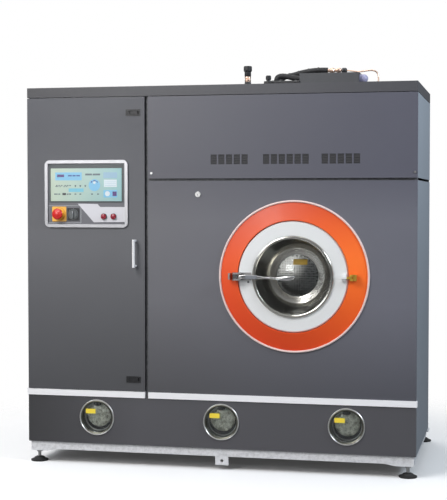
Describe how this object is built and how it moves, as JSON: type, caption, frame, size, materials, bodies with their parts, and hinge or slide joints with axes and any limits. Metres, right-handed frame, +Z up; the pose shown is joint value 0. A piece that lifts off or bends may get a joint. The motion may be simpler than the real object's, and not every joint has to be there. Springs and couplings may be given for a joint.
{
  "type": "dry cleaning machine",
  "caption": "Shop dry cleaning machine: dark grey cabinet, orange-ringed round loading door with drum, touch control panel, solvent tanks with sight ports, levelling feet.",
  "frame": {"origin": "on the floor, under the middle of the whole machine", "axes": "+X to the machine's right seen from the front, +Y from the front to the back, +Z up"},
  "size_m": [2.01, 1.149, 2.055],
  "materials": {
    "grey_panel": "dark grey powder coat, fine texture",
    "grey_cabinet": "dark grey powder coat, fine texture",
    "grey_side": "blue-grey powder coat",
    "white_trim": "white gloss coat",
    "frame_grey": "light grey primer",
    "inner_steel": "grey paint",
    "orange": "glossy moulding",
    "pink_trim": "soft edge trim",
    "white_ring": "glossy moulding",
    "steel": "brushed",
    "bright_steel": "polished",
    "zinc": "yellow zinc plate",
    "black_rubber": "matt",
    "black_plastic": "fine grain",
    "clear_glass": "clear",
    "screen": "display glass",
    "white_plate": "printed plate",
    "yellow_plate": "smooth",
    "red_knob": "smooth",
    "lamp_red": "lens",
    "knob_grey": "smooth",
    "motor_blue": "enamel",
    "cast": "machined",
    "copper": "copper, slightly dull",
    "tank_steel": "mill finish",
    "duct_zinc": "galvanised sheet",
    "rear_grey": "grey powder coat",
    "electric_white": "galvanised plate and relays"
  },
  "bodies": {
    "machine": {"base_frame": "frame_grey", "levelling_feet": "black_rubber", "inner_frame": "inner_steel", "plinth_panel": "grey_panel", "trim_strips": "white_trim", "lower_front_panel": "grey_panel", "upper_front_panel": "grey_panel", "top_cover": "grey_panel", "side_panels": "grey_side", "rear_covers": "rear_grey", "panel_screws": "bright_steel", "orange_ring": "orange", "ring_trim": "pink_trim", "door_hardware": "zinc", "door_gasket": "black_rubber", "tub": "steel", "drum_bearings": "bright_steel", "drive_motor": "motor_blue", "drive_belt": "black_rubber", "solvent_tanks": "tank_steel", "sight_rings": "bright_steel", "sight_glasses": "clear_glass", "solvent_pump": "motor_blue", "solvent_filter": "tank_steel", "still": "tank_steel", "water_separator": "tank_steel", "air_duct": "duct_zinc", "fan_motor": "motor_blue", "compressor": "black_plastic", "electrics": "electric_white", "roof_box": "inner_steel", "roof_pipes": "black_plastic", "copper_pipes": "copper"},
    "cabinet_door": {"cabinet_door": "grey_cabinet", "door_bezel": "bright_steel", "touch_screen": "screen", "control_plate": "white_plate", "estop_base": "yellow_plate", "switch_blocks": "black_plastic", "bar_handle": "bright_steel"},
    "estop_stem": {"estop_stem": "black_plastic"},
    "estop_knob": {"estop_knob": "red_knob"},
    "selector_knob": {"selector_knob": "knob_grey"},
    "start_button": {"start_button": "lamp_red"},
    "stop_button": {"stop_button": "lamp_red"},
    "latch_upper": {"latch_upper": "black_plastic"},
    "latch_lower": {"latch_lower": "black_plastic"},
    "loading_door": {"door_ring": "white_ring", "door_bowl": "steel", "door_glass": "clear_glass", "glass_clamp": "steel", "door_arm": "zinc"},
    "door_lever": {"door_lever": "bright_steel"},
    "drum": {"drum": "steel", "drum_shaft": "cast", "drum_pulley": "cast"},
    "motor_rotor": {"motor_pulley": "cast"},
    "fan_wheel": {"fan_wheel": "duct_zinc"},
    "panel_lock": {"panel_lock": "bright_steel"},
    "valve_knob": {"valve_knob": "black_plastic"}
  },
  "joints": [
    {"name": "cabinet_door", "type": "hinge", "parent": "machine", "child": "cabinet_door", "pos_m": [-0.99, -0.5005, 1.134], "axis": [0, 0, -1], "range_deg": [0, 110]},
    {"name": "estop_push", "type": "slide", "parent": "cabinet_door", "child": "estop_stem", "axis": [0, 1, 0], "range_m": [0, 0.005], "stiffness_N_per_m": 400},
    {"name": "estop_twist", "type": "hinge", "parent": "estop_stem", "child": "estop_knob", "pos_m": [-0.826, -0.5245, 1.289], "axis": [0, 1, 0], "range_deg": [0, 45], "stiffness_Nm_per_rad": 0.05},
    {"name": "selector", "type": "hinge", "parent": "cabinet_door", "child": "selector_knob", "pos_m": [-0.75, -0.5165, 1.288], "axis": [0, 1, 0], "range_deg": [0, 90]},
    {"name": "start_push", "type": "slide", "parent": "cabinet_door", "child": "start_button", "axis": [0, 1, 0], "range_m": [0, 0.003], "stiffness_N_per_m": 250},
    {"name": "stop_push", "type": "slide", "parent": "cabinet_door", "child": "stop_button", "axis": [0, 1, 0], "range_m": [0, 0.003], "stiffness_N_per_m": 250},
    {"name": "latch_upper", "type": "hinge", "parent": "cabinet_door", "child": "latch_upper", "pos_m": [-0.408, -0.5085, 1.803], "axis": [0, 0, 1], "range_deg": [0, 45], "stiffness_Nm_per_rad": 0.08},
    {"name": "latch_lower", "type": "hinge", "parent": "cabinet_door", "child": "latch_lower", "pos_m": [-0.408, -0.5085, 0.446], "axis": [0, 0, 1], "range_deg": [0, 45], "stiffness_Nm_per_rad": 0.08},
    {"name": "loading_door", "type": "hinge", "parent": "machine", "child": "loading_door", "pos_m": [0.686, -0.5525, 0.982], "axis": [0, 0, 1], "range_deg": [0, 110]},
    {"name": "door_lever", "type": "hinge", "parent": "loading_door", "child": "door_lever", "pos_m": [0.108, -0.5605, 0.982], "axis": [0, 0, -1], "range_deg": [0, 35]},
    {"name": "drum_spin", "type": "hinge", "parent": "machine", "child": "drum", "pos_m": [0.395, -0.2405, 0.982], "axis": [0, 1, 0], "continuous": true},
    {"name": "motor_spin", "type": "hinge", "parent": "machine", "child": "motor_rotor", "pos_m": [0.76, 0.1295, 0.47], "axis": [0, 1, 0], "continuous": true},
    {"name": "fan_spin", "type": "hinge", "parent": "machine", "child": "fan_wheel", "pos_m": [0.61, -0.2805, 1.695], "axis": [0, 1, 0], "continuous": true},
    {"name": "panel_lock", "type": "hinge", "parent": "machine", "child": "panel_lock", "pos_m": [-0.093, -0.5105, 1.389], "axis": [0, 1, 0], "range_deg": [0, 90]},
    {"name": "valve_turn", "type": "hinge", "parent": "machine", "child": "valve_knob", "pos_m": [0.209, -0.2105, 1.98], "axis": [0, 0, 1], "range_deg": [0, 360]}
  ],
  "couplings": [
    {"joint": "motor_spin", "follows": "drum_spin", "ratio": 4.944}
  ]
}
